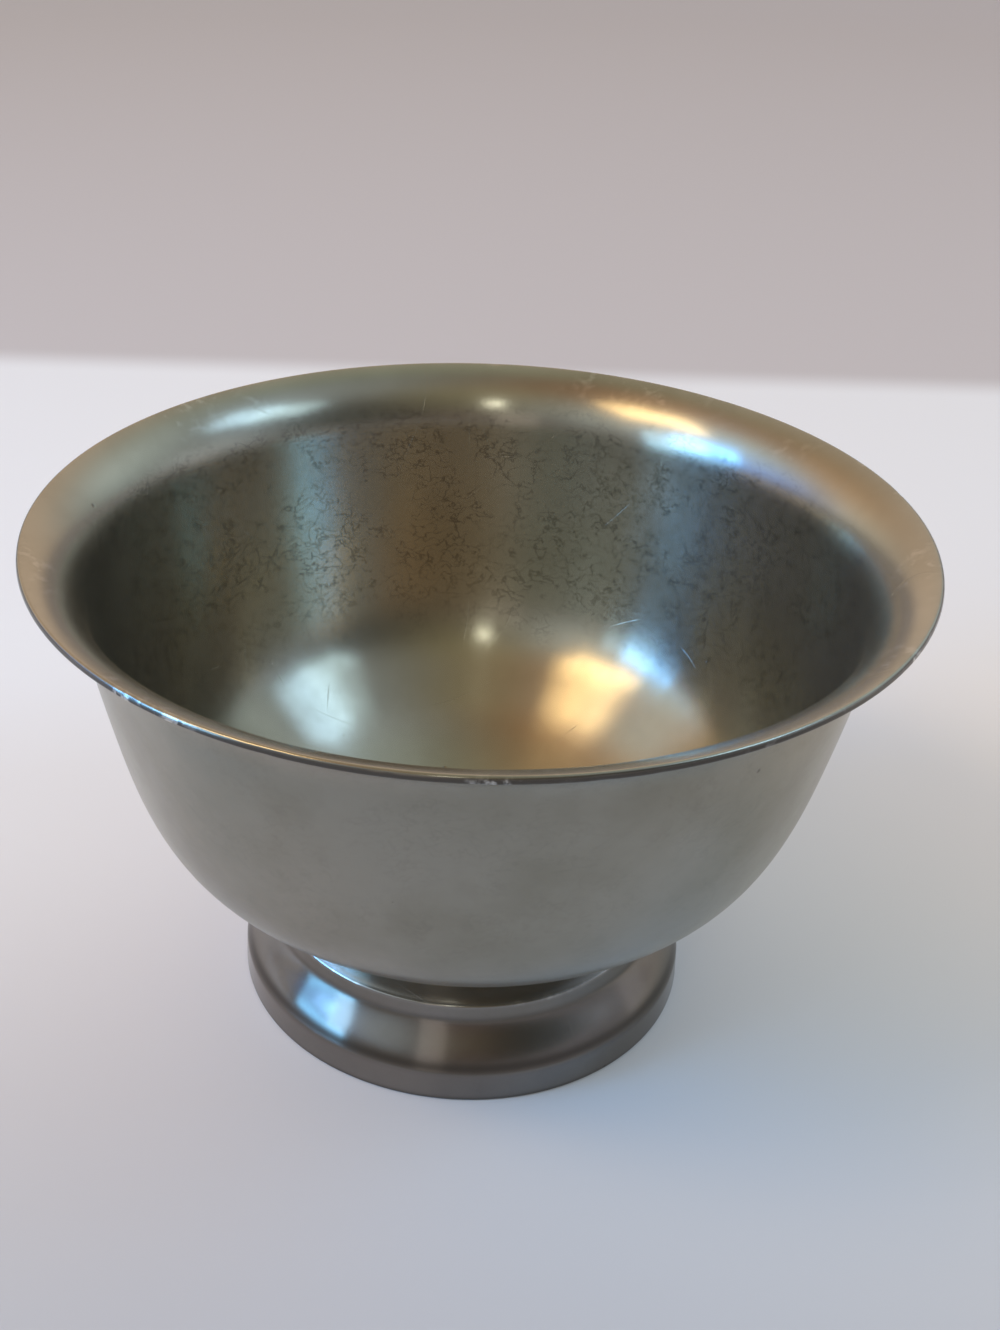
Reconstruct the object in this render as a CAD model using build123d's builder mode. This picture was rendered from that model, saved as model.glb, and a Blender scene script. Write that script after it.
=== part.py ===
from build123d import *
from math import asin, cos, degrees, radians, sin, sqrt
import os

# A footed bowl with a flared lip, spun from two pewter sheets and soldered
# together. Millimetres and degrees, +Z up, the origin on the table under the
# middle of the foot.

# Bowl
rim_diameter = 127.0
overall_height = 77.0
bowl_wall = 1.1
bowl_bottom_height = 12.9
bowl_crown_radius = 69.4
lip_bend_radius = 9.6
lip_edge_round = 0.4
lip_edge_slope = 12.0
wall_lean = 7.3

# Foot
foot_diameter = 69.9
foot_wall = 1.2
land_width = 1.9
land_edge_round = 0.4
base_band_height = 4.9
base_band_taper = 0.18
base_band_ledge = 0.15
shoulder_inset = 4.05
shoulder_height = 11.5
shoulder_tread = 0.55
shoulder_rise = 0.35
collar_rise = 2.05
collar_draw_in = 0.2
collar_bead = 0.2
neck_inset = 3.9

# Solder joint between the foot's neck and the bowl's underside
solder_gap = 0.15
solder_fillet = 1.0
solder_contact_angle = 20.0
crown_margin = 4.0

# Belly between the crown and the lip, as shares of the way out and up
belly_shares = [(0.165, 0.052), (0.362, 0.135), (0.563, 0.231), (0.759, 0.421), (0.880, 0.660)]
belly_station_shares = [0.125, 0.25, 0.375, 0.5, 0.625, 0.75, 0.875]

# Directions of the foot's two curved stretches, in degrees from upright
skirt_foot_lean = 14.0
skirt_top_lean = 24.0
neck_foot_lean = 42.0

os.makedirs("parts", exist_ok=True)

shoulder_diameter = foot_diameter - 2 * shoulder_inset
neck_diameter = shoulder_diameter - 2 * neck_inset
collar_height = shoulder_height + shoulder_rise + collar_rise

rim_radius = rim_diameter / 2
foot_radius = foot_diameter / 2
shoulder_radius = shoulder_diameter / 2
neck_radius = neck_diameter / 2
crown_edge_radius = neck_radius + crown_margin
crown_angle = degrees(asin(crown_edge_radius / bowl_crown_radius))
lip_rise = (cos(radians(lip_edge_slope)), sin(radians(lip_edge_slope)))
wall_rise = (sin(radians(wall_lean)), cos(radians(wall_lean)))
rounding_loss = lip_edge_round * (lip_rise[0] + lip_rise[1] - 1)
mouth_radius = rim_radius + rounding_loss - lip_bend_radius * (wall_rise[1] - lip_rise[1])
mouth_height = overall_height + rounding_loss - bowl_wall * lip_rise[0] - lip_bend_radius * (
    lip_rise[0] - wall_rise[0]
)


def crown_height(radius, depth=0):
    """Height, at a distance from the axis, of the round surface at a depth inside the underside."""
    return bowl_bottom_height + bowl_crown_radius - sqrt((bowl_crown_radius - depth) ** 2 - radius**2)


def draw_crown(start_radius, end_radius, depth):
    """Draws a stretch of that round surface, as an arc between two distances from the axis."""
    radii = (start_radius, (start_radius + end_radius) / 2, end_radius)
    ThreePointArc(*[(radius, crown_height(radius, depth)) for radius in radii])


def upward(lean):
    """Unit direction that climbs, leaning towards the axis by an angle from upright."""
    return (-sin(radians(lean)), cos(radians(lean)))


def belly_line():
    """The underside's free curve, from the edge of the crown up to the lip's bend."""
    span = mouth_radius - crown_edge_radius
    climb = mouth_height - crown_height(crown_edge_radius)
    stations = [
        (crown_edge_radius + out * span, crown_height(crown_edge_radius) + up * climb)
        for out, up in [(0, 0), *belly_shares, (1, 1)]
    ]
    crown_direction = (cos(radians(crown_angle)), sin(radians(crown_angle)))
    return Spline(*stations, tangents=(crown_direction, upward(-wall_lean)), mode=Mode.PRIVATE)


def draw_skin(depth):
    """Draws the bowl's section at a depth inside its underside, from axis to lip edge.

    The crown and the lip's bend are arcs about the underside's own centres, and the
    belly runs through points of the free curve, each moved square to it by the depth.
    """
    crown = JernArc(
        start=(0, bowl_bottom_height + depth),
        tangent=(1, 0),
        radius=bowl_crown_radius - depth,
        arc_size=crown_angle,
    )
    line = belly_line()
    moved = [
        line.position_at(share) + line.tangent_at(share).rotate(Axis.Z, 90) * depth
        for share in belly_station_shares
    ]
    mouth = line.position_at(1) + line.tangent_at(1).rotate(Axis.Z, 90) * depth
    belly = Spline(crown @ 1, *moved, mouth, tangents=(crown % 1, line.tangent_at(1)))
    return JernArc(
        start=belly @ 1,
        tangent=belly % 1,
        radius=lip_bend_radius + depth,
        arc_size=wall_lean + lip_edge_slope - 90,
    )


# The bowl, one spun disc of even thickness with a flared lip
with BuildPart() as bowl:
    with BuildSketch(Plane.XZ):
        with BuildLine():
            underside_lip = draw_skin(0)
            inside_lip = draw_skin(bowl_wall)
            Line(underside_lip @ 1, inside_lip @ 1)
            Line((0, bowl_bottom_height), (0, bowl_bottom_height + bowl_wall))
        make_face()
    revolve(axis=Axis.Z)
    fillet(bowl.edges().filter_by(GeomType.CIRCLE).sort_by(Axis.Z)[-2:], radius=lip_edge_round)
bowl.part.label = "bowl"
export_step(bowl.part, "parts/bowl.step")

# The foot, a hollow spun ring: base band, curved skirt, stepped collar, neck
band_top_radius = foot_radius - base_band_taper
skirt_base = (band_top_radius - base_band_ledge, base_band_height)
shoulder = (shoulder_radius, shoulder_height)
collar_base = (shoulder_radius - shoulder_tread, shoulder_height + shoulder_rise)
collar_top = (collar_base[0] - collar_draw_in, collar_height)
neck_base = (collar_top[0] - collar_bead, collar_height)
neck_top = (neck_radius, crown_height(neck_radius, -solder_gap))
neck_narrowest = (neck_radius, crown_height(neck_radius) - solder_fillet)
inner_radius = neck_radius - foot_wall
inner_neck_top = (inner_radius, crown_height(inner_radius, -solder_gap))
inner_land = (foot_radius - land_width, 0)
inner_band_top = (foot_radius - land_width, base_band_height - foot_wall)
inner_shoulder = (collar_base[0] - foot_wall, shoulder_height - foot_wall)
inner_neck_base = (inner_radius, collar_height + foot_wall)
with BuildPart() as foot:
    with BuildSketch(Plane.XZ):
        with BuildLine():
            Polyline((foot_radius, 0), (band_top_radius, base_band_height), skirt_base)
            Spline(skirt_base, shoulder, tangents=(upward(skirt_foot_lean), upward(skirt_top_lean)))
            Polyline(shoulder, collar_base, collar_top, neck_base)
            Spline(neck_base, neck_narrowest, tangents=(upward(neck_foot_lean), upward(0)))
            Line(neck_narrowest, neck_top)
            draw_crown(neck_radius, inner_radius, -solder_gap)
            Line(inner_neck_top, inner_neck_base)
            Spline(inner_neck_base, inner_shoulder, inner_band_top, tangents=((0, -1), (0, -1)))
            Polyline(inner_band_top, inner_land, (foot_radius, 0))
        make_face()
    revolve(axis=Axis.Z)
    fillet(foot.edges().filter_by(GeomType.CIRCLE).group_by(Axis.Z)[0], radius=land_edge_round)
foot.part.label = "foot"
export_step(foot.part, "parts/foot.step")

# The solder, which fills the gap over the neck and runs out to a hollow fillet each side
outer_tip = (neck_radius + solder_fillet, crown_height(neck_radius + solder_fillet))
inner_tip = (inner_radius - solder_fillet, crown_height(inner_radius - solder_fillet))
inner_fillet_foot = (inner_radius, crown_height(inner_radius) - solder_fillet)
with BuildPart() as solder_seam:
    with BuildSketch(Plane.XZ):
        with BuildLine():
            TangentArc(neck_narrowest, outer_tip, tangent=upward(-solder_contact_angle))
            draw_crown(outer_tip[0], inner_tip[0], 0)
            TangentArc(inner_fillet_foot, inner_tip, tangent=upward(solder_contact_angle))
            Line(inner_fillet_foot, inner_neck_top)
            draw_crown(inner_radius, neck_radius, -solder_gap)
            Line(neck_top, neck_narrowest)
        make_face()
    revolve(axis=Axis.Z)
solder_seam.part.label = "solder_seam"
export_step(solder_seam.part, "parts/solder_seam.step")
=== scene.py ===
import math

import bpy
import numpy as np
from mathutils import Matrix


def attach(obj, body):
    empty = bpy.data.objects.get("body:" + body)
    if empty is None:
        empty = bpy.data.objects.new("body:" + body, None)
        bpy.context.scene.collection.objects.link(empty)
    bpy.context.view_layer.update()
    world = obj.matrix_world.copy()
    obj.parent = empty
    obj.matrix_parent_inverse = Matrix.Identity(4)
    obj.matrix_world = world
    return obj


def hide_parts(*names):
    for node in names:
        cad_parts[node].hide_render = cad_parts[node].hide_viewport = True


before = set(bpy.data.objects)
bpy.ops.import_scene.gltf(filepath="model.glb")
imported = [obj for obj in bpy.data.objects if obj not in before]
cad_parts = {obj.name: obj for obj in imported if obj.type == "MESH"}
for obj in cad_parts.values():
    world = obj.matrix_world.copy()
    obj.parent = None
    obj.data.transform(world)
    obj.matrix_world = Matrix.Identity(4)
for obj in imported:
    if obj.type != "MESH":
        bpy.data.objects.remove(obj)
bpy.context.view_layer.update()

# ---------------------------------------------------------------- bowl
# The bowl is one disc of pewter sheet, spun over a former: a shallow crown, a full
# belly, a nearly upright wall and a flared lip. It is satin, worn and warm grey
# outside, browner inside, and its crown is soldered down onto the foot. A band of
# painted shade darkens its underside about the seam, painted shade darkens its
# creases, and the lip's near-black edge is partly patina and partly painted shade.

BOTTOM, CROWN_RADIUS, CROWN_EDGE, SHEET = 12.9, 69.4, 31.0, 1.1
MOUTH = (56.048, 67.828)
LIP_BEND, LIP_ROUND, WALL_LEAN, LIP_SLOPE = 9.6, 0.4, math.radians(7.3), math.radians(12)
SEAM_PLACE, NICKS, NICKED_RADIUS = 28.8, 26, 63
STEP, FINE_STEP = 0.05, 0.02
BELLY_SHARES = [(0.165, 0.052), (0.362, 0.135), (0.563, 0.231), (0.759, 0.421), (0.880, 0.660)]


def arc(centre, radius, start, end, step=STEP):
    """Points about a centre at one radius, a step in millimetres apart, turning evenly
    from one angle to another."""
    count = max(3, int(abs(end - start) * radius / step))
    turn = np.linspace(start, end, count)
    return np.column_stack([centre[0] + radius * np.cos(turn), centre[1] + radius * np.sin(turn)])


def curve_through(stations, start_way, end_way, step=STEP):
    """A clamped cubic curve: it passes through the stations, its knots are their chord
    lengths, its two end directions are given, and its bend runs on through each station."""
    points = np.array(stations, float)
    gaps = np.linalg.norm(np.diff(points, axis=0), axis=1)
    knots = np.concatenate([[0], np.cumsum(gaps)])
    n = len(points)
    system, sides = np.eye(n), np.zeros((n, 2))
    sides[0], sides[-1] = start_way, end_way
    for i in range(1, n - 1):
        before, after = gaps[i - 1], gaps[i]
        system[i, i - 1 : i + 2] = after, 2 * (before + after), before
        rise, fall = points[i] - points[i - 1], points[i + 1] - points[i]
        sides[i] = 3 * (after / before * rise + before / after * fall)
    ways = np.linalg.solve(system, sides)
    run = np.linspace(0, knots[-1], int(knots[-1] / step))
    piece = np.clip(np.searchsorted(knots, run, side="right") - 1, 0, n - 2)
    gap = gaps[piece][:, None]
    t = (run - knots[piece])[:, None] / gap
    return (
        (2 * t**3 - 3 * t**2 + 1) * points[piece]
        + (t**3 - 2 * t**2 + t) * gap * ways[piece]
        + (3 * t**2 - 2 * t**3) * points[piece + 1]
        + (t**3 - t**2) * gap * ways[piece + 1]
    )


def lengths(line):
    """How far along the line each of its points is."""
    return np.concatenate([[0], np.cumsum(np.linalg.norm(np.diff(line, axis=0), axis=1))])


def even(line, step=STEP):
    """The same line, with its points a step apart."""
    far = lengths(line)
    places = np.linspace(0, far[-1], int(far[-1] / step) + 1)
    return np.column_stack([np.interp(places, far, line[:, k]) for k in (0, 1)])


def soften(line, spread, closed, step=STEP):
    """The line with its corners eased: each point becomes the bell-weighted mean of the
    line about it. An open line is carried on past its ends by turning it about them."""
    reach = int(4 * spread / step)
    bell = np.exp(-0.5 * (np.arange(-reach, reach + 1) * step / spread) ** 2)
    bell /= bell.sum()
    if closed:
        padded = np.concatenate([line[-reach - 1 : -1], line, line[1 : reach + 1]])
    else:
        past_start = 2 * line[0] - line[reach:0:-1]
        past_end = 2 * line[-1] - line[-2 : -reach - 2 : -1]
        padded = np.concatenate([past_start, line, past_end])
    return np.column_stack([np.convolve(padded[:, k], bell, "valid") for k in (0, 1)])


def rows(line, count, tightness):
    """The line again in a set number of points, closer together where it bends more."""
    far = lengths(line)
    way = np.gradient(line, far, axis=0)
    bend = np.abs(np.gradient(np.unwrap(np.arctan2(way[:, 1], way[:, 0])), far))
    half = 20
    bell = np.hanning(2 * half + 1)
    bell /= bell.sum()
    need = 1 + tightness * np.convolve(np.pad(bend, half, mode="edge"), bell, "valid")
    spent = np.concatenate([[0], np.cumsum((need[1:] + need[:-1]) / 2 * np.diff(far))])
    places = np.interp(np.linspace(0, spent[-1], count), spent, far)
    return np.column_stack([np.interp(places, far, line[:, k]) for k in (0, 1)]), places


def ripple(angle, places, seed, waves=14, longest=3, reach=60.0):
    """A sum of sine waves over the turn and the section, each with a whole number of
    waves round the piece, so it closes on itself. It runs from about -1 to 1."""
    rng = np.random.default_rng(seed)
    total = np.zeros(np.broadcast(angle, places).shape)
    for _ in range(waves):
        around = rng.integers(1, longest * 3)
        along = rng.uniform(-1, 1) * 2 * math.pi / reach * longest
        size, shift = rng.uniform(0.4, 1), rng.uniform(0, 2 * math.pi)
        total += size * np.sin(around * angle + along * places + shift)
    return total / np.abs(total).max()


def map_turning(mesh, verts, line_of, steps):
    """The map that a swept mesh's material reads: how far along the section, in tenths of
    a metre, and what share of the turn. A face over the turn's start counts on past 1,
    and a corner on the axis takes the middle of its own face."""
    corner = np.empty(len(mesh.loops), np.int32)
    mesh.loops.foreach_get("vertex_index", corner)
    size = np.empty(len(mesh.polygons), np.int32)
    mesh.polygons.foreach_get("loop_total", size)
    face_of = np.repeat(np.arange(len(size)), size)
    share = (np.arctan2(verts[:, 1], verts[:, 0]) % (2 * math.pi) / (2 * math.pi))[corner]
    on_axis = np.hypot(verts[corner, 0], verts[corner, 1]) < 1e-9
    far_side = np.zeros(len(size))
    np.maximum.at(far_side, face_of, np.where(on_axis, 0, share))
    share = np.where((far_side[face_of] > 0.75) & (share < 0.25), share + 1, share)
    share = np.where(on_axis, far_side[face_of] - 0.5 / steps, share)
    layer = mesh.uv_layers.new(name="turning")
    layer.data.foreach_set("uv", np.column_stack([line_of[corner] / 100, share]).ravel())


def turned(name, section, places, move, closed, steps):
    """A section, in millimetres, swept once round the upright axis: its first column is
    the distance out and its second the height. The move gives how far each point is
    pushed along the section's own outward side. Ends on the axis close to one point."""
    way = np.gradient(section, places, axis=0)
    if closed:
        way[0] = way[-1] = section[1] - section[-2]
    way /= np.linalg.norm(way, axis=1)[:, None]
    out = np.column_stack([way[:, 1], -way[:, 0]])
    count = len(section) - 1 if closed else len(section)
    angle = np.arange(steps) * 2 * math.pi / steps
    push = np.broadcast_to(move(angle[None, :], places[:count, None]), (count, steps))
    radius = section[:count, 0:1] + out[:count, 0:1] * push
    height = section[:count, 1:2] + out[:count, 1:2] * push
    grid = np.stack([radius * np.cos(angle), radius * np.sin(angle), height], axis=-1) / 1000

    first, last = (0, count) if closed else (1, count - 1)
    verts = grid[first:last].reshape(-1, 3)
    ring = np.arange(last - first)[:, None] * steps + np.arange(steps)[None, :]
    lower = ring if closed else ring[:-1]
    upper = np.roll(ring, -1, axis=0) if closed else ring[1:]
    corners = [lower, np.roll(lower, -1, axis=1), np.roll(upper, -1, axis=1), upper]
    faces = np.stack(corners, axis=-1).reshape(-1, 4).tolist()
    line_of = np.repeat(places[first:last], steps)
    if not closed:
        low, high = len(verts), len(verts) + 1
        verts = np.concatenate([verts, [grid[0].mean(axis=0)], [grid[-1].mean(axis=0)]])
        line_of = np.concatenate([line_of, [places[0]], [places[-1]]])
        faces += np.column_stack([np.roll(ring[0], -1), ring[0], np.full(steps, low)]).tolist()
        faces += np.column_stack([ring[-1], np.roll(ring[-1], -1), np.full(steps, high)]).tolist()

    mesh = bpy.data.meshes.new(name)
    mesh.from_pydata(verts.tolist(), [], faces)
    mesh.shade_smooth()
    map_turning(mesh, verts, line_of, steps)
    piece = bpy.data.objects.new(name, mesh)
    bpy.context.scene.collection.objects.link(piece)
    return piece, line_of


def mark(piece, name, values):
    """A number from 0 to 1 for each point of the mesh, which its material reads."""
    layer = piece.data.attributes.new(name, "FLOAT", "POINT")
    layer.data.foreach_set("value", np.clip(values, 0, 1))


crown_turn = math.asin(CROWN_EDGE / CROWN_RADIUS)
crown = arc((0, BOTTOM + CROWN_RADIUS), CROWN_RADIUS, -math.pi / 2, crown_turn - math.pi / 2)
span = MOUTH - crown[-1]
belly = curve_through(
    [crown[-1] + share * span for share in [(0, 0), *BELLY_SHARES, (1, 1)]],
    (math.cos(crown_turn), math.sin(crown_turn)),
    (math.sin(WALL_LEAN), math.cos(WALL_LEAN)),
)
bend_centre = np.array(MOUTH) + LIP_BEND * np.array([math.cos(WALL_LEAN), -math.sin(WALL_LEAN)])
lip = arc(bend_centre, LIP_BEND, math.pi - WALL_LEAN, math.pi / 2 + LIP_SLOPE)
underside = even(np.concatenate([crown, belly[1:], lip[1:]]))
way = np.gradient(underside, lengths(underside), axis=0)
way /= np.linalg.norm(way, axis=1)[:, None]
into = np.column_stack([-way[:, 1], way[:, 0]])
inside = underside + SHEET * into
tip, along, square = underside[-1], way[-1], into[-1]
slope = math.atan2(along[1], along[0])
low_centre = tip + LIP_ROUND * (square - along)
high_centre = tip + (SHEET - LIP_ROUND) * square - LIP_ROUND * along
low_corner = arc(low_centre, LIP_ROUND, slope - math.pi / 2, slope, FINE_STEP)
high_corner = arc(high_centre, LIP_ROUND, slope, slope + math.pi / 2, FINE_STEP)
trim = int(LIP_ROUND / STEP) + 1
sides = [underside[:-trim], low_corner, high_corner, inside[:-trim][::-1]]
bowl_line = soften(even(np.concatenate(sides)), 0.1, closed=False)
bowl_line[[0, -1], 0] = 0
bowl_section, bowl_places = rows(bowl_line, 150, tightness=9)
lip_edge = bowl_places[np.argmax(bowl_section[:, 0])]
lip_top = bowl_places[np.argmax(bowl_section[:, 1])]


def bowl_move(angle, places):
    """Slow waves in the sheet, up to 0.05 mm deep and fading to nothing at the axis, and
    small nicks in the lip's edge. Both only go inward."""
    wave = 0.5 * ripple(angle, places, 3) - 0.5
    fade = np.clip(np.minimum(places, bowl_places[-1] - places) / 25, 0, 1)
    push = 0.05 * wave * fade
    rng = np.random.default_rng(11)
    for _ in range(NICKS):
        centre = rng.uniform(0, 2 * math.pi)
        wide, tall = rng.uniform(0.5, 1.6), rng.uniform(0.25, 0.6)
        place, deep = lip_edge + rng.normal(0, 0.5), rng.uniform(0.03, 0.12)
        turn = (angle - centre + math.pi) % (2 * math.pi) - math.pi
        off = (turn * NICKED_RADIUS / wide) ** 2 + ((places - place) / tall) ** 2
        push = push - deep * np.exp(-off)
    return push


bowl, bowl_at = turned("bowl_shell", bowl_section, bowl_places, bowl_move, closed=False, steps=640)
inside_share = 1 / (1 + np.exp(-(bowl_at - lip_top - 0.5) / 0.5))
lip_share = np.clip((bowl_at - lip_edge) / 0.5, 0, 1) * np.clip((lip_top + 9 - bowl_at) / 5, 0, 1)
edge_share = np.exp(-(((bowl_at - lip_edge) / 0.65) ** 4))
mark(bowl, "inner", inside_share)
# the lip's edge: rubbed spots, and the edge tone, which on the bowl is near black and partly
# painted shade
mark(bowl, "wear_and_painted_edge", np.maximum(edge_share, 0.25 * lip_share))
# painted shade: a dark band round the underside about the seam, where the bowl meets the foot
mark(bowl, "painted_shade", 0.6 * np.exp(-(((bowl_at - SEAM_PLACE) / 1.5) ** 2)))
past_lip = bowl_at - lip_top
wall_share = np.clip((past_lip - 7) / 5, 0, 1) * np.clip((52 - past_lip) / 14, 0, 1)
mark(bowl, "crazed", wall_share + 0.2 * (1 - inside_share))


def add(tree, kind, inputs=None, **settings):
    """A new node, with its settings and its sockets: a socket takes a value or a link."""
    node = tree.nodes.new(kind)
    for key, value in settings.items():
        setattr(node, key, value)
    for key, value in (inputs or {}).items():
        if isinstance(value, bpy.types.NodeSocket):
            tree.links.new(value, node.inputs[key])
        else:
            node.inputs[key].default_value = value
    return node


def number(tree, operation, a, b=0.0, clamp=False):
    """One sum of two numbers."""
    node = add(tree, "ShaderNodeMath", {0: a, 1: b}, operation=operation, use_clamp=clamp)
    return node.outputs[0]


def between(tree, value, low, high, to_low=0.0, to_high=1.0):
    """The value moved from one range to another, with soft ends."""
    ranges = {"From Min": low, "From Max": high, "To Min": to_low, "To Max": to_high}
    node = add(tree, "ShaderNodeMapRange", {"Value": value, **ranges})
    node.interpolation_type = "SMOOTHSTEP"
    return node.outputs[0]


def blended(tree, share, a, b):
    """Colour a where the share is 0, and colour b where it is 1."""
    node = add(tree, "ShaderNodeMix", data_type="RGBA")
    for socket, value in zip((node.inputs[0], node.inputs[6], node.inputs[7]), (share, a, b)):
        if isinstance(value, bpy.types.NodeSocket):
            tree.links.new(value, socket)
        else:
            socket.default_value = (*value, 1) if isinstance(value, tuple) else value
    return node.outputs[2]


def vector(tree, operation, a, b):
    """One sum of two vectors."""
    return add(tree, "ShaderNodeVectorMath", {0: a, 1: b}, operation=operation).outputs[0]


def dot(tree, a, b):
    """How far one vector runs along another."""
    node = add(tree, "ShaderNodeVectorMath", {0: a, 1: b}, operation="DOT_PRODUCT")
    return node.outputs["Value"]


def noise(tree, inputs, output=0, **settings):
    """A smooth random pattern."""
    return add(tree, "ShaderNodeTexNoise", inputs, **settings).outputs[output]


def random_cells(tree, place, size, **settings):
    """A pattern of random cells, with so many to the metre."""
    return add(tree, "ShaderNodeTexVoronoi", {"Vector": place, "Scale": size}, **settings).outputs


def creases(tree, place, size, thin, seed):
    """Fine creases: the thin borders between random cells, flatter than they are
    wide, shaken by a noise and broken into patches. From 0 to 1 in a crease. Where
    the material darkens them, the darkening is painted shade."""
    shake = noise(tree, {"Vector": place, "Scale": size * 1.6, "Detail": 3.0}, "Color")
    shake = vector(tree, "SUBTRACT", shake, (0.5, 0.5, 0.5))
    moved = vector(tree, "MULTIPLY", shake, (1.6 / size,) * 3)
    moved = vector(tree, "ADD", vector(tree, "ADD", place, moved), (seed, seed, seed))
    flat = vector(tree, "MULTIPLY", moved, (1.0, 1.0, 2.8))
    border = random_cells(tree, flat, size, feature="DISTANCE_TO_EDGE")["Distance"]
    line = between(tree, border, 0.0, thin, 1.0, 0.0)
    patch = noise(tree, {"Vector": moved, "Scale": size * 0.45, "Detail": 2.0})
    return number(tree, "MULTIPLY", line, between(tree, patch, 0.36, 0.48))


def scratches(tree, place, size, wide, share, seed):
    """Straight scratches: one in each chosen random cell, where the surface crosses a
    plane that is turned at random through the cell's middle. From 0 to 1 in a scratch."""
    shifted = vector(tree, "ADD", place, (seed, seed * 0.7, seed * 0.3))
    cells = random_cells(tree, shifted, size)
    local = vector(tree, "SUBTRACT", shifted, cells["Position"])
    aim = vector(tree, "SUBTRACT", cells["Color"], (0.5, 0.5, 0.5))
    aim = add(tree, "ShaderNodeVectorMath", {0: aim}, operation="NORMALIZE").outputs[0]
    off = number(tree, "ABSOLUTE", dot(tree, local, aim))
    line = between(tree, off, wide * 0.3, wide, 1.0, 0.0)
    line = number(tree, "MULTIPLY", line, between(tree, cells["Distance"], 0.25, 0.5, 1.0, 0.0))
    lot = add(tree, "ShaderNodeSeparateColor", {0: cells["Color"]}).outputs[1]
    return number(tree, "MULTIPLY", line, number(tree, "LESS_THAN", lot, share))


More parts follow.
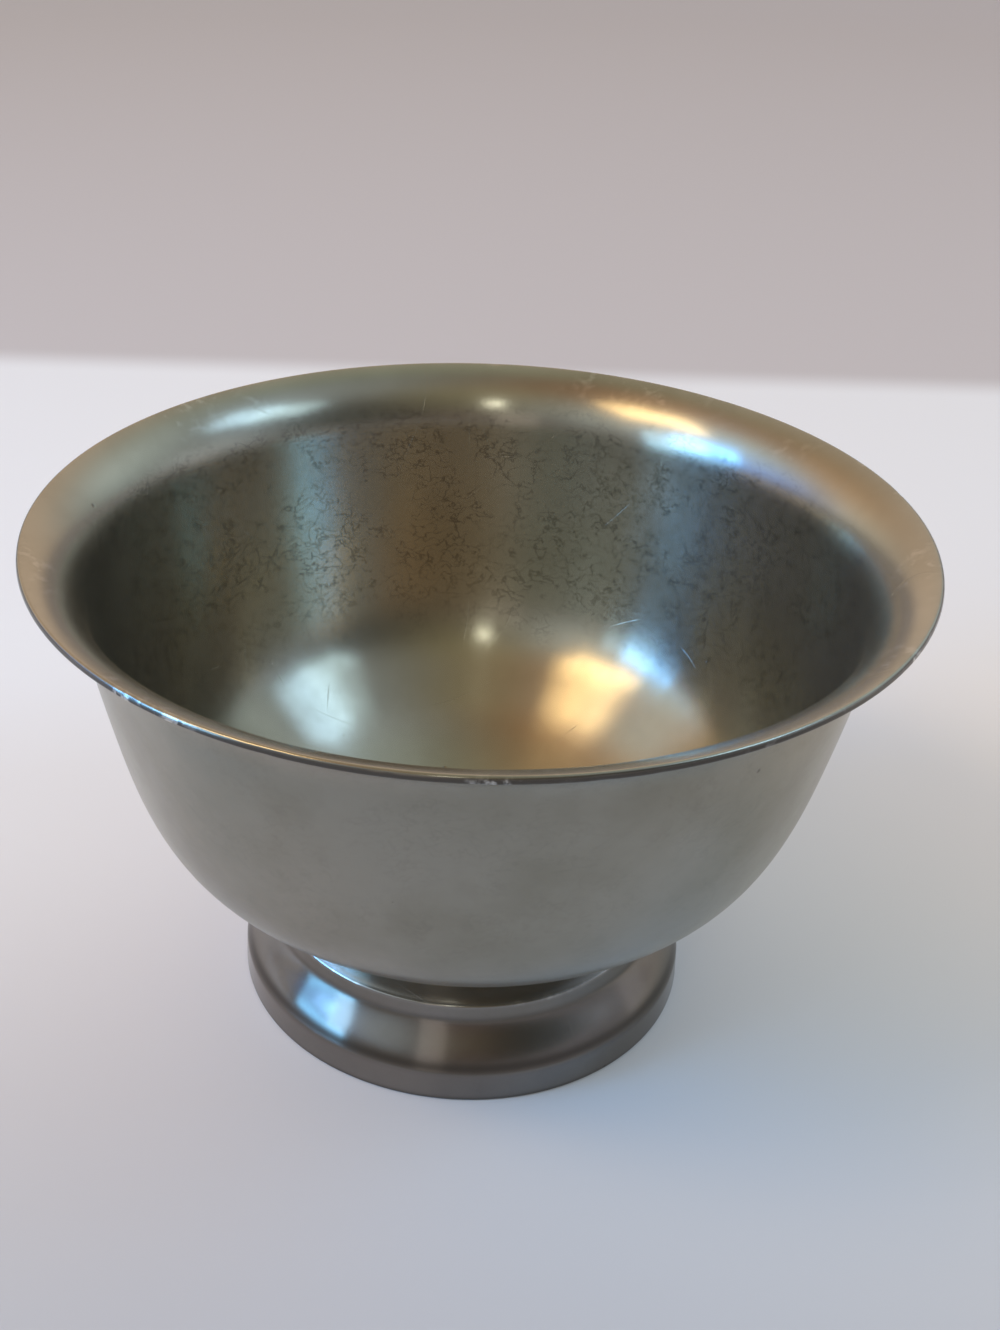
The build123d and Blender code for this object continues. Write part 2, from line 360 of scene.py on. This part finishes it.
def pewter(name, tones, roughness, stretch, marks, seed, metal=1.0):
    """Turned pewter, with fine rings left by the lathe and a sheen drawn out across them.

    The tones are two for the outside, two for the inside, the edge's and the rubbed
    spots'. The colour drifts between a pair in blotches and darkens in pits; its darkening
    in creases and in shaded corners is painted shade, and a near-black edge tone is partly
    patina and partly painted shade. The marks are the depths of the scratches and of the
    rings, and the metal is the share that is bare and not under patina.
    """
    material = bpy.data.materials.new(name)
    material.use_nodes = True
    tree = material.node_tree
    shader = tree.nodes["Principled BSDF"]
    place = add(tree, "ShaderNodeTexCoord").outputs["Object"]
    spin = add(tree, "ShaderNodeUVMap", uv_map="turning").outputs[0]
    inner, wear_and_painted_edge, painted_shade, crazed = (
        add(tree, "ShaderNodeAttribute", attribute_name=kind).outputs["Fac"]
        for kind in ("inner", "wear_and_painted_edge", "painted_shade", "crazed")
    )
    outer_pale, outer_dark, inner_pale, inner_dark, edge_tone, rubbed_tone = tones
    scratch_depth, ring_depth = marks

    blotch = noise(tree, {"Vector": place, "Scale": 40.0 + seed, "Detail": 5.0, "Roughness": 0.6})
    mottle = noise(tree, {"Vector": place, "Scale": 420.0, "Detail": 4.0, "Roughness": 0.65})
    outside = blended(tree, between(tree, blotch, 0.35, 0.68), outer_pale, outer_dark)
    within = blended(tree, between(tree, blotch, 0.3, 0.7), inner_pale, inner_dark)
    colour = blended(tree, inner, outside, within)

    cells = random_cells(tree, place, 230.0)
    lot = add(tree, "ShaderNodeSeparateColor", {0: cells["Color"]})
    reach = number(tree, "ADD", number(tree, "MULTIPLY", lot.outputs[1], 0.1), 0.03)
    spot = between(tree, cells["Distance"], 0.02, reach, 1.0, 0.0)
    pit = number(tree, "MULTIPLY", number(tree, "LESS_THAN", lot.outputs[0], 0.13), spot)

    crease = number(tree, "MULTIPLY", creases(tree, place, 240.0, 0.07, seed), crazed)
    long_lines = scratches(tree, place, 42.0, 0.0001, 0.55, 0.3 + seed)
    short_lines = scratches(tree, place, 120.0, 0.00007, 0.3, 1.9 + seed)
    lines = number(tree, "MAXIMUM", long_lines, short_lines)
    depth = between(tree, inner, 0.0, 1.0, scratch_depth * 0.35, scratch_depth)
    lines = number(tree, "MULTIPLY", lines, depth)

    ring = add(tree, "ShaderNodeSeparateXYZ", {0: spin}).outputs[0]
    lathe_look = {"W": ring, "Scale": 420.0, "Detail": 7.0, "Roughness": 0.75}
    lathe = noise(tree, lathe_look, noise_dimensions="1D")

    rubbed = number(tree, "MULTIPLY", wear_and_painted_edge, between(tree, mottle, 0.5, 0.65))
    rubbed = number(tree, "MULTIPLY", rubbed, between(tree, blotch, 0.5, 0.6))
    for share, tone in (
        # the edge tone: on the bowl near black, partly patina and partly painted shade
        (wear_and_painted_edge, edge_tone),
        (rubbed, rubbed_tone),
        # painted shade: corners, joints and the stand line darkened as if in shadow
        (painted_shade, (0.045, 0.038, 0.032)),
        (number(tree, "MULTIPLY", pit, 0.75), (0.06, 0.05, 0.04)),
        # painted shade: the creases darkened as if in shadow
        (number(tree, "MULTIPLY", crease, 0.55), (0.07, 0.06, 0.05)),
        (between(tree, lathe, 0.3, 0.7, 0.0, 0.12), inner_dark),
    ):
        colour = blended(tree, share, colour, tone)

    rough = number(tree, "ADD", roughness, between(tree, mottle, 0.3, 0.7, -0.01, 0.01))
    rough = number(tree, "ADD", rough, between(tree, blotch, 0.35, 0.65, -0.015, 0.015))
    rough = number(tree, "ADD", rough, number(tree, "MULTIPLY", lines, 0.05))
    rough = number(tree, "SUBTRACT", rough, number(tree, "MULTIPLY", rubbed, 0.1), clamp=True)

    height = number(tree, "MULTIPLY", lathe, ring_depth)
    for relief, rise in ((mottle, 0.05), (lines, -0.8), (crease, -0.3), (pit, -4.0)):
        height = number(tree, "ADD", height, number(tree, "MULTIPLY", relief, rise))
    bump = add(tree, "ShaderNodeBump", {"Height": height, "Distance": 0.00001, "Strength": 1.0})

    tree.links.new(colour, shader.inputs["Base Color"])
    tree.links.new(rough, shader.inputs["Roughness"])
    tree.links.new(bump.outputs[0], shader.inputs["Normal"])
    tangent = add(tree, "ShaderNodeTangent", direction_type="UV_MAP", uv_map="turning")
    tree.links.new(tangent.outputs[0], shader.inputs["Tangent"])
    shader.inputs["Metallic"].default_value = metal
    shader.inputs["Anisotropic"].default_value = stretch
    return material


bowl.data.materials.append(
    pewter(
        "bowl_pewter_worn",
        tones=[
            # the fifth tone, the lip's near-black edge, is partly patina and partly painted shade
            (0.36, 0.345, 0.29), (0.295, 0.28, 0.225), (0.37, 0.345, 0.275),
            (0.31, 0.285, 0.22), (0.10, 0.09, 0.08), (0.60, 0.59, 0.56),
        ],
        roughness=0.21,
        stretch=0.88,
        marks=(1.0, 0.12),
        seed=0,
        metal=0.9,
    )
)
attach(bowl, "root")
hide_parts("bowl")

# ---------------------------------------------------------------- foot
# The foot is a second spun pewter ring, hollow underneath: an upright base band, a
# curved skirt, a small collar and a neck. It is glossier than the bowl, and its tones
# are darker: partly patina, partly painted shade for the darker reflections it shows.
# Painted shade darkens its corners, a painted contact shadow runs round where it
# stands, and the neck's top edge is soldered to the bowl's crown.

BASE, BAND_TOP, LEDGE = (34.95, 0.0), (34.77, 4.9), (34.62, 4.9)
COLLAR_BASE, COLLAR_TOP, NECK_BASE = (30.65, 11.6), (30.15, 13.9), (29.95, 13.9)
NECK, FOOT_SHEET, LAND, SOLDER_GAP, FILLET = 27.0, 1.2, 1.9, 0.15, 1.0
THICKER = (0.3, 0.1)


def crown_height(radius, depth=0.0):
    """Height of the bowl's round underside, or of a surface at a depth inside it."""
    return BOTTOM + CROWN_RADIUS - np.sqrt((CROWN_RADIUS - depth) ** 2 - np.asarray(radius) ** 2)


def leaning(degrees):
    """A direction that climbs, leaning towards the axis by an angle from upright."""
    return (-math.sin(math.radians(degrees)), math.cos(math.radians(degrees)))


inner_neck = NECK - FOOT_SHEET
skirt = curve_through([LEDGE, COLLAR_BASE], leaning(20), leaning(27))
neck = curve_through([NECK_BASE, (NECK, crown_height(NECK) - FILLET)], leaning(42), leaning(0))
hollow = curve_through(
    [
        (inner_neck, COLLAR_TOP[1] + FOOT_SHEET),
        (COLLAR_BASE[0] - FOOT_SHEET - THICKER[0], COLLAR_BASE[1] - FOOT_SHEET - THICKER[1]),
        (BASE[0] - LAND, BAND_TOP[1] - FOOT_SHEET),
    ],
    (0, -1),
    (0, -1),
)
seat = np.array([(r, crown_height(r, -SOLDER_GAP)) for r in np.linspace(NECK, inner_neck, 12)])
land = np.array([(BASE[0] - LAND, 0.0), BASE])
foot_line = even(np.concatenate([[BASE, BAND_TOP], skirt, [COLLAR_TOP], neck, seat, hollow, land]))
crisp = np.clip(foot_line[:, 1:2] - COLLAR_BASE[1] - 0.5, 0, 1)
crisp_line, soft_line = (soften(foot_line, spread, closed=True) for spread in (0.15, 0.32))
foot_line = crisp * crisp_line + (1 - crisp) * soft_line
foot_section, foot_places = rows(foot_line, 150, tightness=1.2)
foot_section[:, 1] -= foot_section[:, 1].min()


def foot_move(angle, places):
    """Slow waves in the turning, up to 0.03 mm deep, always inward, and still at the land."""
    clear = np.clip(np.minimum(places, foot_places[-1] - places - 2.5) / 2, 0, 1)
    return 0.03 * (0.5 * ripple(angle, places, 7, longest=4, reach=40) - 0.5) * clear


foot, foot_at = turned("foot_ring", foot_section, foot_places, foot_move, closed=True, steps=600)
collar_edge = foot_places[np.argmin(np.hypot(*(foot_section - COLLAR_TOP).T))]
mark(foot, "wear_and_painted_edge", np.exp(-(((foot_at - collar_edge) / 0.35) ** 2)))
band_edge = foot_places[np.argmin(np.hypot(*(foot_section - BAND_TOP).T))]
mark(foot, "inner", 1 / (1 + np.exp(-(foot_at - band_edge - 0.3) / 0.15)))
above_band, below_collar = foot_at - band_edge - 0.8, foot_at - collar_edge + 2.3
# painted shade above the band and under the collar, and a painted contact shadow at the land
foot_painted_shade = 0.75 * np.exp(-((above_band / 0.95) ** 2))
foot_painted_shade += 0.35 * np.exp(-((below_collar / 0.5) ** 2))
foot_painted_shade += 0.7 * np.exp(-((foot_at / 0.5) ** 2))
mark(foot, "painted_shade", foot_painted_shade)
mark(foot, "crazed", np.full(len(foot_at), 0.1))
foot.data.materials.append(
    pewter(
        "foot_pewter_bright",
        tones=[
            # darker than the bowl's tones: partly patina, partly painted shade for the foot's
            # darker reflections
            (0.26, 0.235, 0.21), (0.22, 0.20, 0.18), (0.26, 0.245, 0.225),
            (0.21, 0.195, 0.17), (0.34, 0.33, 0.31), (0.55, 0.54, 0.52),
        ],
        roughness=0.18,
        stretch=0.6,
        marks=(0.6, 0.05),
        seed=9,
    )
)
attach(foot, "root")
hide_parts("foot")

# ---------------------------------------------------------------- solder seam
# The solder is a thin ring of dull tin that ran between the neck's top edge and the
# bowl's crown, with a small hollow fillet outside and in. It holds the two together.


def hollow_side(start, end, way):
    """The arc that leaves the start in a given direction and passes through the end."""
    start, end, way = np.array(start), np.array(end), np.array(way)
    side = np.array([-way[1], way[0]])
    reach = end - start
    radius = reach @ reach / (2 * reach @ side)
    centre = start + radius * side
    angles = [math.atan2(*(point - centre)[::-1]) for point in (start, end)]
    turn = (angles[1] - angles[0] + math.pi) % (2 * math.pi) - math.pi
    return arc(centre, abs(radius), angles[0], angles[0] + turn, FINE_STEP)


outer_tip, inner_tip = NECK + FILLET, inner_neck - FILLET
outer_side, inner_side = (
    hollow_side((side, crown_height(side) - FILLET), (end, crown_height(end)), leaning(lean))
    for side, end, lean in ((NECK, outer_tip, -20), (inner_neck, inner_tip, 20))
)
top = np.array([(r, crown_height(r)) for r in np.linspace(outer_tip, inner_tip, 24)])
seam_line = np.concatenate([outer_side, top[1:-1], inner_side[::-1], seat[::-1], outer_side[:1]])
seam_line = soften(even(seam_line, FINE_STEP), 0.02, closed=True, step=FINE_STEP)
seam_section, seam_places = rows(seam_line, 60, tightness=0.3)


def seam_move(angle, places):
    """Lumps left as the solder set, up to 0.08 mm, always inward."""
    return 0.08 * (0.5 * ripple(angle * 7, places, 5, longest=6, reach=6) - 0.5)


seam, seam_at = turned("solder_ring", seam_section, seam_places, seam_move, closed=True, steps=600)
mark(seam, "wear_and_painted_edge", np.zeros(len(seam_at)))
mark(seam, "inner", np.zeros(len(seam_at)))
# painted shade over the whole solder ring, which sits in the joint
mark(seam, "painted_shade", np.full(len(seam_at), 0.3))
mark(seam, "crazed", np.full(len(seam_at), 0.3))
seam.data.materials.append(
    pewter(
        "solder_dull",
        tones=[
            (0.32, 0.31, 0.29), (0.25, 0.24, 0.22), (0.30, 0.29, 0.27),
            (0.24, 0.23, 0.21), (0.30, 0.29, 0.27), (0.45, 0.45, 0.43),
        ],
        roughness=0.42,
        stretch=0.0,
        marks=(0.3, 0.0),
        seed=17,
    )
)
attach(seam, "root")
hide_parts("solder_seam")

# ---------------------------------------------------------------- floor and backdrop
# A plain pale cloth: flat under the bowl, darker in front of it by a painted shadow,
# darker from a fold a quarter of a metre behind it, and rising in a low round sweep
# far away on every side.

FLAT, RISE_END, RISE = 0.9, 1.7, 0.42
reach = np.concatenate([np.linspace(0, FLAT, 10)[1:], np.linspace(FLAT, RISE_END, 24)[1:]])
lift = RISE * np.clip((reach - FLAT) / (RISE_END - FLAT), 0, 1) ** 2
ring_steps = 128
turn = np.arange(ring_steps) * 2 * math.pi / ring_steps
far = reach[:, None]
heights = np.broadcast_to(lift[:, None], (len(reach), ring_steps))
cloth_points = np.stack([far * np.cos(turn), far * np.sin(turn), heights], axis=-1).reshape(-1, 3)
cloth_points = np.concatenate([cloth_points, [(0, 0, 0)]])
ring = np.arange(len(reach))[:, None] * ring_steps + np.arange(ring_steps)[None, :]
cloth_faces = np.stack(
    [ring[:-1], ring[1:], np.roll(ring[1:], -1, axis=1), np.roll(ring[:-1], -1, axis=1)], axis=-1
).reshape(-1, 4).tolist()
middle = np.full(ring_steps, len(cloth_points) - 1)
cloth_faces += np.column_stack([ring[0], np.roll(ring[0], -1), middle]).tolist()
cloth_mesh = bpy.data.meshes.new("cloth")
cloth_mesh.from_pydata(cloth_points.tolist(), [], cloth_faces)
cloth_mesh.shade_smooth()
cloth = bpy.data.objects.new("cloth", cloth_mesh)
bpy.context.scene.collection.objects.link(cloth)

cloth_material = bpy.data.materials.new("cloth_pale")
cloth_material.use_nodes = True
tree = cloth_material.node_tree
place = add(tree, "ShaderNodeTexCoord").outputs["Object"]
back = add(tree, "ShaderNodeSeparateXYZ", {0: place}).outputs[1]
shade = blended(tree, between(tree, back, 0.255, 0.275), (0.83, 0.79, 0.78), (0.58, 0.515, 0.50))
# painted shadow: the cloth's colour is darker in front of the bowl
shade = blended(tree, between(tree, back, -0.14, 0.03), (0.46, 0.45, 0.46), shade)
tree.links.new(shade, tree.nodes["Principled BSDF"].inputs["Base Color"])
tree.nodes["Principled BSDF"].inputs["Roughness"].default_value = 0.95
tree.nodes["Principled BSDF"].inputs["Specular IOR Level"].default_value = 0.15
cloth.data.materials.append(cloth_material)

# ---------------------------------------------------------------- light
# A room with a blue window on the left and a warm lamp above it, a pale light high on
# the right and two small ones behind the camera. Walls and ceiling give soft light.


def heading(azimuth, elevation):
    """The direction at an angle from straight back, turning to the right, and a height."""
    a, e = math.radians(azimuth), math.radians(elevation)
    return np.array([math.sin(a) * math.cos(e), math.cos(a) * math.cos(e), math.sin(e)])


def panel(name, azimuth, elevation, distance, size, glow):
    """A soft box that faces the bowl. Its glow is how bright its face is, in each colour."""
    light = bpy.data.lights.new(name, "AREA")
    light.shape, (light.size, light.size_y) = "RECTANGLE", size
    light.energy, light.color = max(glow) * 4 * size[0] * size[1], np.array(glow) / max(glow)
    lamp = bpy.data.objects.new(name, light)
    bpy.context.scene.collection.objects.link(lamp)
    way = heading(azimuth, elevation)
    right = np.cross((0, 0, 1), way)
    right /= np.linalg.norm(right)
    up = np.cross(way, right)
    spot = way * distance + np.array([0, 0, 0.05])
    axes = np.column_stack([right, up, way, spot])
    lamp.matrix_world = Matrix(np.vstack([axes, [0, 0, 0, 1]]).tolist())
    lamp.visible_camera = False


panel("window_left", -98, 24, 1.0, (0.20, 0.24), (0.9, 3.6, 8.8))
panel("window_middle", -110, 22, 1.0, (0.20, 0.30), (2.3, 6.0, 11.8))
panel("window_right", -121, 16, 1.0, (0.18, 0.40), (1.1, 2.0, 3.0))
panel("window_sill", -112, 4, 1.0, (0.50, 0.12), (0.8, 2.6, 4.8))
panel("lamp_left", -102, 50, 1.2, (0.22, 0.34), (5.2, 3.8, 2.1))
panel("lamp_right", -118, 54, 1.2, (0.26, 0.36), (5.1, 3.6, 1.8))
panel("pale_light_near", 84, 50, 1.2, (0.36, 0.30), (1.4, 2.3, 3.4))
panel("pale_light_far", 103, 50, 1.2, (0.36, 0.30), (1.2, 1.8, 2.3))
panel("small_light", -175, 44, 1.2, (0.10, 0.16), (5.3, 5.5, 5.0))
panel("low_light", -168, 16, 1.0, (0.22, 0.50), (0.28, 0.26, 0.25))

world = bpy.data.worlds.new("room")
world.use_nodes = True
bpy.context.scene.world = world
tree = world.node_tree
look = add(tree, "ShaderNodeTexCoord").outputs["Generated"]
room, SHARPNESS = (0.0, 0.0, 0.0), 12.0
for azimuth, elevation, colour in (
    (-135, 32, (0.75, 0.86, 0.95)),
    (-180, 32, (0.17, 0.16, 0.11)),
    (-180, 5, (0.12, 0.04, 0.06)),
    (-180, 62, (0.36, 0.31, 0.15)),
    (-45, 32, (0.85, 0.42, 0.12)),
    (-45, 5, (0.73, 0.96, 1.00)),
    (-90, 32, (0.96, 1.43, 1.44)),
    (-90, 5, (0.00, 0.28, 2.51)),
    (-90, 62, (0.62, 0.19, 0.00)),
    (0, 32, (0.56, 0.42, 0.34)),
    (0, 5, (0.99, 0.77, 0.58)),
    (0, 62, (0.32, 0.41, 0.29)),
    (135, 5, (0.12, 0.14, 0.14)),
    (45, 32, (0.90, 1.10, 1.20)),
    (90, 5, (1.16, 1.32, 1.58)),
    (90, 62, (0.54, 0.64, 0.77)),
):
    facing = dot(tree, look, tuple(heading(azimuth, elevation)))
    fall = number(tree, "MULTIPLY", number(tree, "SUBTRACT", facing, 1.0), SHARPNESS)
    share = number(tree, "EXPONENT", fall)
    shares = add(tree, "ShaderNodeCombineXYZ", {0: share, 1: share, 2: share}).outputs[0]
    room = vector(tree, "ADD", room, vector(tree, "MULTIPLY", colour, shares))
tree.links.new(room, tree.nodes["Background"].inputs["Color"])

# ---------------------------------------------------------------- camera
# The camera stands in front of the bowl, 0.21 m away and 0.18 m up, looking down on it.
# Its focal length and shift are counted in pixels of a frame that is 1330 high.

STAND = (0.0, -0.20763, 0.17638)
PAN, TILT, ROLL = -0.0503, 0.5362, -0.0122
FRAME_HEIGHT, FOCAL, SHIFT, SENSOR = 1330, 1630, (99.5, 0.5), 36.0
ahead = math.cos(TILT)
forward = np.array([math.sin(PAN) * ahead, math.cos(PAN) * ahead, -math.sin(TILT)])
level = np.array([math.cos(PAN), -math.sin(PAN), 0.0])
down = np.cross(forward, level)
right = math.cos(ROLL) * level + math.sin(ROLL) * down
down = math.cos(ROLL) * down - math.sin(ROLL) * level
lens = bpy.data.cameras.new("camera")
lens.sensor_fit = "AUTO"
lens.sensor_width = SENSOR
lens.lens = SENSOR * FOCAL / FRAME_HEIGHT
lens.shift_x, lens.shift_y = SHIFT[0] / FRAME_HEIGHT, SHIFT[1] / FRAME_HEIGHT
lens.clip_start = 0.01
camera = bpy.data.objects.new("camera", lens)
bpy.context.scene.collection.objects.link(camera)
axes = np.column_stack([right, -down, -forward, STAND])
camera.matrix_world = Matrix(np.vstack([axes, [0, 0, 0, 1]]).tolist())
bpy.context.scene.camera = camera
bpy.context.scene.view_settings.view_transform = "Standard"
